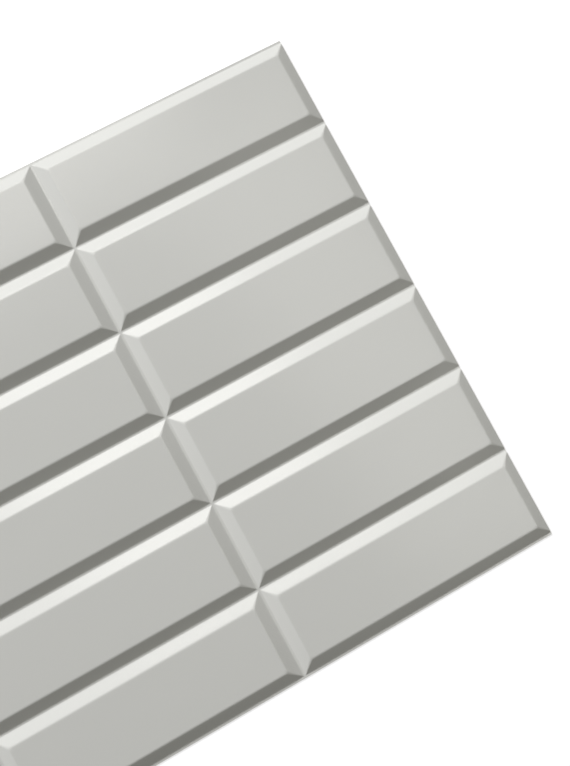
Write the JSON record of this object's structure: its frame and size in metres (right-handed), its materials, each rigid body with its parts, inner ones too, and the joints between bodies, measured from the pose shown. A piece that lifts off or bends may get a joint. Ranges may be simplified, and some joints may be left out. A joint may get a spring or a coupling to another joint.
{
  "type": "pvc wall panel",
  "caption": "Rectangular thin formed PVC sheet for facing a wall, with a relief of oblong bevelled tiles in straight rows and columns, hollow behind each tile.",
  "frame": {"origin": "middle of the back, on the plane of the groove floors that touch the wall", "axes": "+X along the panel's length and the long sides of the tiles, +Y across the rows, +Z out of the wall through the face; the panel lies on its back"},
  "size_m": [0.956, 0.4824, 0.004],
  "materials": {
    "white_pvc": "satin white, coloured right through"
  },
  "bodies": {
    "root": {"formed_sheet": "white_pvc"}
  },
  "joints": []
}
